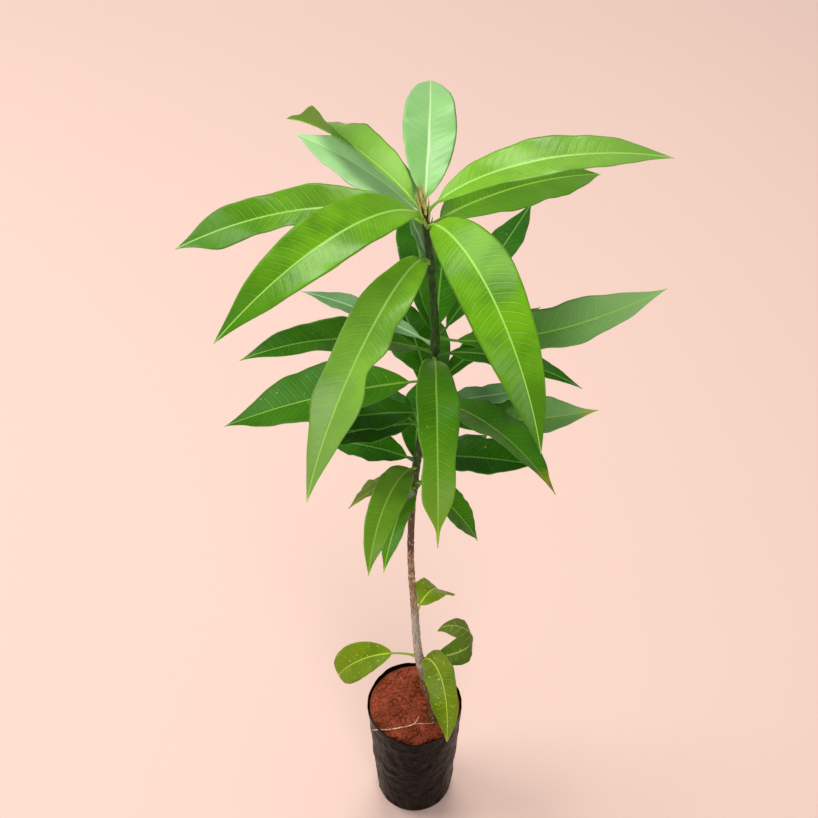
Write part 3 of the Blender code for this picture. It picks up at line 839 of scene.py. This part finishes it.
# Red laterite soil: clay crumbs, darker where damp, matt all over.
def soilMaterial():
    material, tree, shader = startMaterial("redSoil", {
        "Roughness": 0.93, "IOR": 1.4, "Specular IOR Level": 0.2,
    })
    spot = addNode(tree, "TexCoord", output=3)
    patches = addNode(tree, "TexNoise", {"Vector": spot, "Scale": 75, "Detail": 5})
    grains = addNode(tree, "TexNoise", {"Vector": spot, "Scale": 800, "Detail": 4})
    shade = addNode(tree, "MapRange", {0: patches, 1: 0.35, 2: 0.65})
    colour = addNode(tree, "Mix", {0: shade, 6: linear(soilShape["damp"]),
                                   7: linear(soilShape["dry"])}, **colourMix)
    lit = addNode(tree, "MapRange", {0: grains, 1: 0.5, 2: 0.78, 4: 0.55})
    colour = addNode(tree, "Mix", {0: lit, 6: colour, 7: linear(soilShape["grain"])}, **colourMix)
    tree.links.new(colour, shader.inputs["Base Color"])
    bump = addNode(tree, "Bump", {"Height": grains, "Distance": 0.0008, "Strength": 0.9})
    tree.links.new(bump, shader.inputs["Normal"])
    return material


# Height of the soil's surface at (x, y): a level plus layered noise, falling at the edge.
def soilTop(x, y):
    shape = soilShape
    fall = shape["edgeDrop"] * step(0.82, 1.0, np.hypot(x, y) / shape["radius"])
    return shape["height"] + shape["unevenness"] * layeredNoise(places(x / 8, y / 8, 3.3), 61, 4) - fall


# Soil: rings out from the middle over its top, then down inside the bag and back to its middle.
def makeSoil(material):
    shape = soilShape
    turn = circle(shape["around"])[None, :]
    reach = shape["radius"] * np.linspace(0.02, 1, 70)[:, None]
    x, y = reach * np.cos(turn), reach * np.sin(turn)
    radius, z = np.array(shape["below"]).T[:, :, None]
    down = places(radius * np.cos(turn), radius * np.sin(turn), z)
    points, faces = closeRings(np.concatenate([places(x, y, soilTop(x, y)), down], 0))
    makePiece("redSoilFill", points, faces, material, "soil", ("soil",))


# Crumbs: twenty-sided lumps, each stretched and turned at random, half sunk in the soil.
def makeCrumbs(material):
    shape = soilShape
    chance = np.random.default_rng(71)
    # twelve corners, and a side for each three that are neighbours
    golden = (1 + 5 ** 0.5) / 2
    corners = np.array([(a, b, 0) for a in (-1, 1) for b in (-golden, golden)])
    corners = np.vstack([corners, np.roll(corners, 1, 1), np.roll(corners, 2, 1)])
    corners /= np.hypot(1, golden)
    gaps = np.linalg.norm(corners[:, None] - corners[None], axis=-1)
    near = gaps[gaps > 0.1].min() * 1.05
    triangles = [(i, j, k) for i in range(12) for j in range(i + 1, 12) for k in range(j + 1, 12)
                 if max(gaps[i, j], gaps[j, k], gaps[i, k]) < near]
    triangles = np.array([face if np.linalg.det(corners[list(face)]) > 0 else face[::-1]
                          for face in triangles])
    count = shape["crumbs"]
    reach = shape["radius"] * 0.95 * chance.random(count) ** 0.5
    facing = chance.uniform(0, 2 * np.pi, count)
    x, y = reach * np.cos(facing), reach * np.sin(facing)
    size = between(shape["crumbSize"], chance.random(count) ** 4)
    stretch = chance.uniform(0.6, 1.2, (count, 1, 3)) * size[:, None, None]
    jitter = 1 + chance.uniform(-0.22, 0.22, (count, 12, 1))
    turned = np.linalg.qr(chance.normal(size=(count, 3, 3)))[0]
    turned *= np.sign(np.linalg.det(turned))[:, None, None]
    lumps = np.einsum("nij,nkj->nki", turned, corners[None] * stretch * jitter)
    centre = places(x, y, soilTop(x, y) + 0.1 * size)
    points = (lumps + centre[:, None]).reshape(-1, 3)
    faces = (triangles[None] + 12 * np.arange(count)[:, None, None]).reshape(-1, 3)
    makePiece("soilCrumbs", points, faces.tolist(), material, "soil")


redSoil = soilMaterial()
makeSoil(redSoil)
makeCrumbs(redSoil)


# A dry root lies on the soil near the rim, with one fine branch: (x, y, radius) in mm.
rootShape = {
    "main": ((-36.5, -25.0, 0.35), (-32.0, -24.6, 0.5), (-24.0, -24.8, 0.6), (-15.8, -24.4, 0.62),
             (-11.6, -23.2, 0.6), (-5.6, -21.6, 0.55), (-0.6, -20.1, 0.5), (2.0, -16.8, 0.42),
             (3.7, -12.0, 0.25)),
    "branch": ((-1.2, -20.2, 0.3), (4.0, -18.8, 0.28), (8.7, -19.2, 0.25), (17.2, -18.7, 0.15)),
    "perSpan": 8,  # rings between two points
    "evened": 7,  # rings that the running mean takes in
    "above": 1.0,  # mm over the soil
    "sag": 0.6,  # mm that it may dip into a hollow
    "dark": "#b07c4c",
    "pale": "#efcf9f",
}


# Dry root: straw-coloured skin with darker lengthwise wrinkles.
def rootMaterial():
    material, tree, shader = startMaterial("dryRoot", {"Roughness": 0.7, "IOR": 1.45})
    spot = addNode(tree, "TexCoord", output=3)
    wrinkles = addNode(tree, "TexNoise", {"Vector": spot, "Scale": 500, "Detail": 3})
    shade = addNode(tree, "MapRange", {0: wrinkles, 1: 0.35, 2: 0.65})
    colour = addNode(tree, "Mix", {0: shade, 6: linear(rootShape["dark"]),
                                   7: linear(rootShape["pale"])}, **colourMix)
    tree.links.new(colour, shader.inputs["Base Color"])
    bump = addNode(tree, "Bump", {"Height": wrinkles, "Distance": 0.0002, "Strength": 0.5})
    tree.links.new(bump, shader.inputs["Normal"])
    return material


# Root: tubes through their points, each span cut into equal parts and evened by a running mean,
# lying on the soil's own height.
def makeRoot():
    shape = rootShape
    evened, shells = shape["evened"], []
    for key in ("main", "branch"):
        given = np.array(shape[key])
        spans = np.arange(len(given))
        fine = np.linspace(0, len(given) - 1, (len(given) - 1) * shape["perSpan"] + 1)
        run = np.stack([np.interp(fine, spans, given[:, n]) for n in range(3)], -1)
        run = np.pad(run, ((evened // 2, evened // 2), (0, 0)), "edge")
        mean = np.full(evened, 1 / evened)
        x, y, radius = (np.convolve(run[:, n], mean, "valid") for n in range(3))
        lying = np.maximum(soilTop(x, y), soilShape["height"] - shape["sag"]) + shape["above"]
        path = places(x, y, lying + 0.4 * smoothNoise(places(fine, 0, 0), 83))
        shells.append(closeRings(tubeRings(path, radius, 10)))
    makePiece("dryRoot", *joinShells(shells), rootMaterial(), "bark")


makeRoot()
print("bag, soil and root made")


# A pale paper floor under even white light.
stage = {
    "floorHex": "#f2d0c2",
    "floorSize": 8.0,  # m
    "worldHex": "#ffffff",
    "worldStrength": 0.27,
}


def makeStage():
    size = stage["floorSize"] / 2
    corners = [(-size, -size, 0), (size, -size, 0), (size, size, 0), (-size, size, 0)]
    mesh = bpy.data.meshes.new("studioFloor")
    mesh.from_pydata(corners, [], [(0, 1, 2, 3)])
    material, _, _ = startMaterial("palePaper", {"Base Color": linear(stage["floorHex"]),
                                                 "Roughness": 0.9})
    mesh.materials.append(material)
    addObject("studioFloor", mesh)
    world = bpy.data.worlds.new("studioLight")
    world.use_nodes = True
    background = world.node_tree.nodes["Background"]
    background.inputs[0].default_value = linear(stage["worldHex"])
    background.inputs[1].default_value = stage["worldStrength"]
    bpy.context.scene.world = world
    bpy.context.scene.view_settings.view_transform = "Standard"


# Lights: place and size in m, power in W, colour.
lights = {
    "topLight": ((0.0, 0.9, 2.4), 0.9, 26, "#fffdfa"),
    "leftBox": ((-2.0, 0.5, 1.9), 1.8, 38, "#ffffff"),
    "frontBox": ((0.4, -2.5, 1.7), 1.8, 42, "#ffffff"),
}


# An area light, aimed at the crown half a metre up.
def makeLight(name, place, size, power, hexColour):
    light = bpy.data.lights.new(name, "AREA")
    light.size = size
    light.energy = power
    light.color = linear(hexColour)[:3]
    lamp = addObject(name, light)
    lamp.location = place
    lamp.rotation_euler = (Vector((0, 0, 0.5)) - Vector(place)).to_track_quat("-Z", "Y").to_euler()


# The camera looks down from in front through a long lens.
cameraSet = {
    "place": (-0.0048, -0.75, 1.44),  # m
    "pitch": 50.4,  # degrees below level
    "lens": 76.4,  # mm on a 36 mm sensor
}


def makeCamera():
    data = bpy.data.cameras.new("frontCamera")
    data.sensor_width = 36.0
    data.lens = cameraSet["lens"]
    camera = addObject("frontCamera", data)
    camera.location = cameraSet["place"]
    camera.rotation_euler = (np.radians(90 - cameraSet["pitch"]), 0, 0)
    bpy.context.scene.camera = camera


makeStage()
for name, values in lights.items():
    makeLight(name, *values)
makeCamera()
print("stage, lights and camera set")
